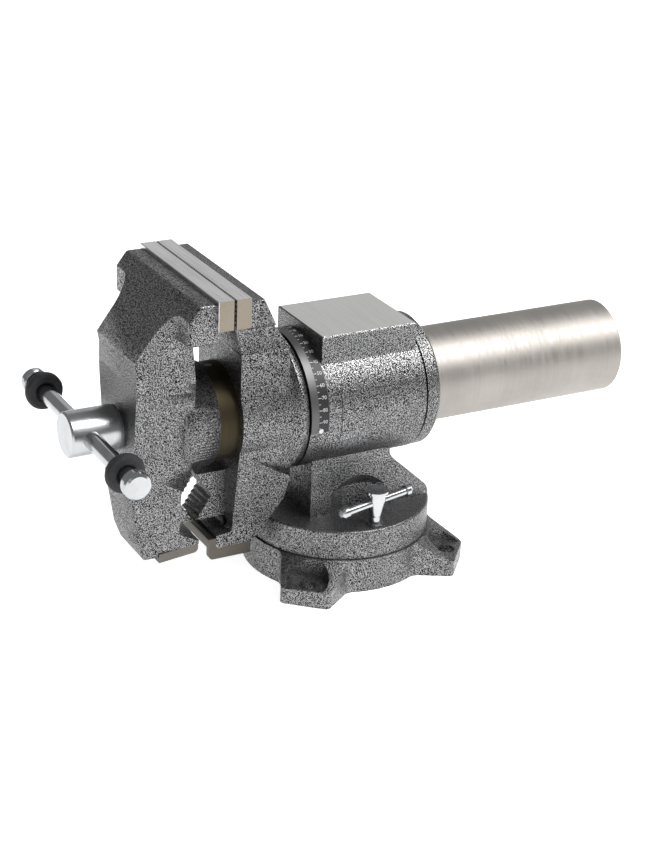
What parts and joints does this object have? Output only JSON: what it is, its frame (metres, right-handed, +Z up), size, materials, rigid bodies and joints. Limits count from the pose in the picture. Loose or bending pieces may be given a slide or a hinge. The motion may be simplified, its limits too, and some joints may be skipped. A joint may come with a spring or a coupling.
{
  "type": "swivel bench vise",
  "caption": "Bench vise on a swivel base with a turning head, tubular slide, pipe jaws, anvil and a sliding bar handle.",
  "frame": {"origin": "on the swivel axis at the underside of the base", "axes": "+Z up, -Y towards the handle, +Y towards the open end of the slide tube, X along the jaws"},
  "size_m": [0.1882, 0.4219, 0.2284],
  "materials": {
    "hammertone": "hammered gloss paint",
    "anvil_paint": "machined",
    "ground_steel": "ground",
    "tube_steel": "brushed",
    "chrome": "polished",
    "screw_steel": "satin",
    "rubber": "matte",
    "brass": "satin",
    "scale_black": "satin"
  },
  "bodies": {
    "base": {"base_casting": "hammertone"},
    "swivel": {"swivel_body": "hammertone", "pivot_bolt": "screw_steel", "pivot_washer": "screw_steel", "degree_scale": "scale_black", "scale_rivets": "chrome", "head_lock_pad": "brass", "clamp_shoe_right": "screw_steel", "clamp_shoe_left": "screw_steel"},
    "base_lock_right": {"base_lock_screw_right": "chrome"},
    "base_lock_handle_right": {"base_lock_bar_right": "chrome", "base_lock_bar_right_knobs": "chrome"},
    "base_lock_left": {"base_lock_screw_left": "chrome"},
    "base_lock_handle_left": {"base_lock_bar_left": "chrome", "base_lock_bar_left_knobs": "chrome"},
    "head_lock": {"head_lock_screw": "chrome"},
    "head_lock_handle": {"head_lock_bar": "chrome", "head_lock_bar_knobs": "chrome"},
    "head": {"rear_jaw": "hammertone", "rear_cap_ring": "hammertone", "cap_ring_screws": "screw_steel", "spindle_nut": "screw_steel", "key_screw": "screw_steel", "rear_bottom_plate": "ground_steel", "rear_bottom_screws": "screw_steel", "rear_jaw_plate": "ground_steel", "rear_plate_screws": "screw_steel", "rear_pipe_jaw": "hammertone", "rear_pipe_jaw_screw": "screw_steel"},
    "slide": {"front_jaw": "hammertone", "slide_tube": "tube_steel", "tube_pins": "screw_steel", "front_bottom_plate": "ground_steel", "front_bottom_screws": "screw_steel", "front_jaw_plate": "ground_steel", "front_plate_screws": "screw_steel", "front_pipe_jaw": "hammertone", "front_pipe_jaw_screw": "screw_steel"},
    "screw": {"spindle": "chrome", "thrust_washer": "screw_steel", "spindle_collar": "screw_steel", "collar_pin": "screw_steel"},
    "handle": {"handle_bar": "chrome", "handle_knobs": "chrome", "handle_rings": "rubber"}
  },
  "joints": [
    {"name": "base_swivel", "type": "hinge", "parent": "base", "child": "swivel", "pos_m": [0, 0, 0.02565], "axis": [0, 0, 1], "continuous": true},
    {"name": "head_rotation", "type": "hinge", "parent": "swivel", "child": "head", "pos_m": [0, 0, 0.1263], "axis": [0, 1, 0], "continuous": true},
    {"name": "jaw_slide", "type": "slide", "parent": "head", "child": "slide", "axis": [0, -1, 0], "range_m": [0, 0.125]},
    {"name": "spindle_turn", "type": "hinge", "parent": "slide", "child": "screw", "pos_m": [0, -0.1917, 0.1263], "axis": [0, 1, 0], "continuous": true},
    {"name": "handle_slide", "type": "slide", "parent": "screw", "child": "handle", "axis": [1, 0, 0], "range_m": [-0.049, 0.055]},
    {"name": "base_lock_right_turn", "type": "hinge", "parent": "swivel", "child": "base_lock_right", "pos_m": [0.056, 0, 0.063], "axis": [0, 0, 1], "range_deg": [-38, 10]},
    {"name": "base_lock_right_bar", "type": "slide", "parent": "base_lock_right", "child": "base_lock_handle_right", "axis": [-0.2334, 0.9724, 0], "range_m": [-0.018, 0.018]},
    {"name": "base_lock_left_turn", "type": "hinge", "parent": "swivel", "child": "base_lock_left", "pos_m": [-0.056, 0, 0.063], "axis": [0, 0, 1], "range_deg": [-38, 10]},
    {"name": "base_lock_left_bar", "type": "slide", "parent": "base_lock_left", "child": "base_lock_handle_left", "axis": [-0.2334, 0.9724, 0], "range_m": [-0.018, 0.018]},
    {"name": "head_lock_turn", "type": "hinge", "parent": "swivel", "child": "head_lock", "pos_m": [-0.066, 0.004, 0.1263], "axis": [-1, 0, 0], "range_deg": [0, 90]},
    {"name": "head_lock_bar_slide", "type": "slide", "parent": "head_lock", "child": "head_lock_handle", "axis": [0, 1, 0], "range_m": [-0.018, 0.018]}
  ],
  "couplings": [
    {"joint": "spindle_turn", "follows": "jaw_slide", "rad_per_m": -1256.6}
  ]
}
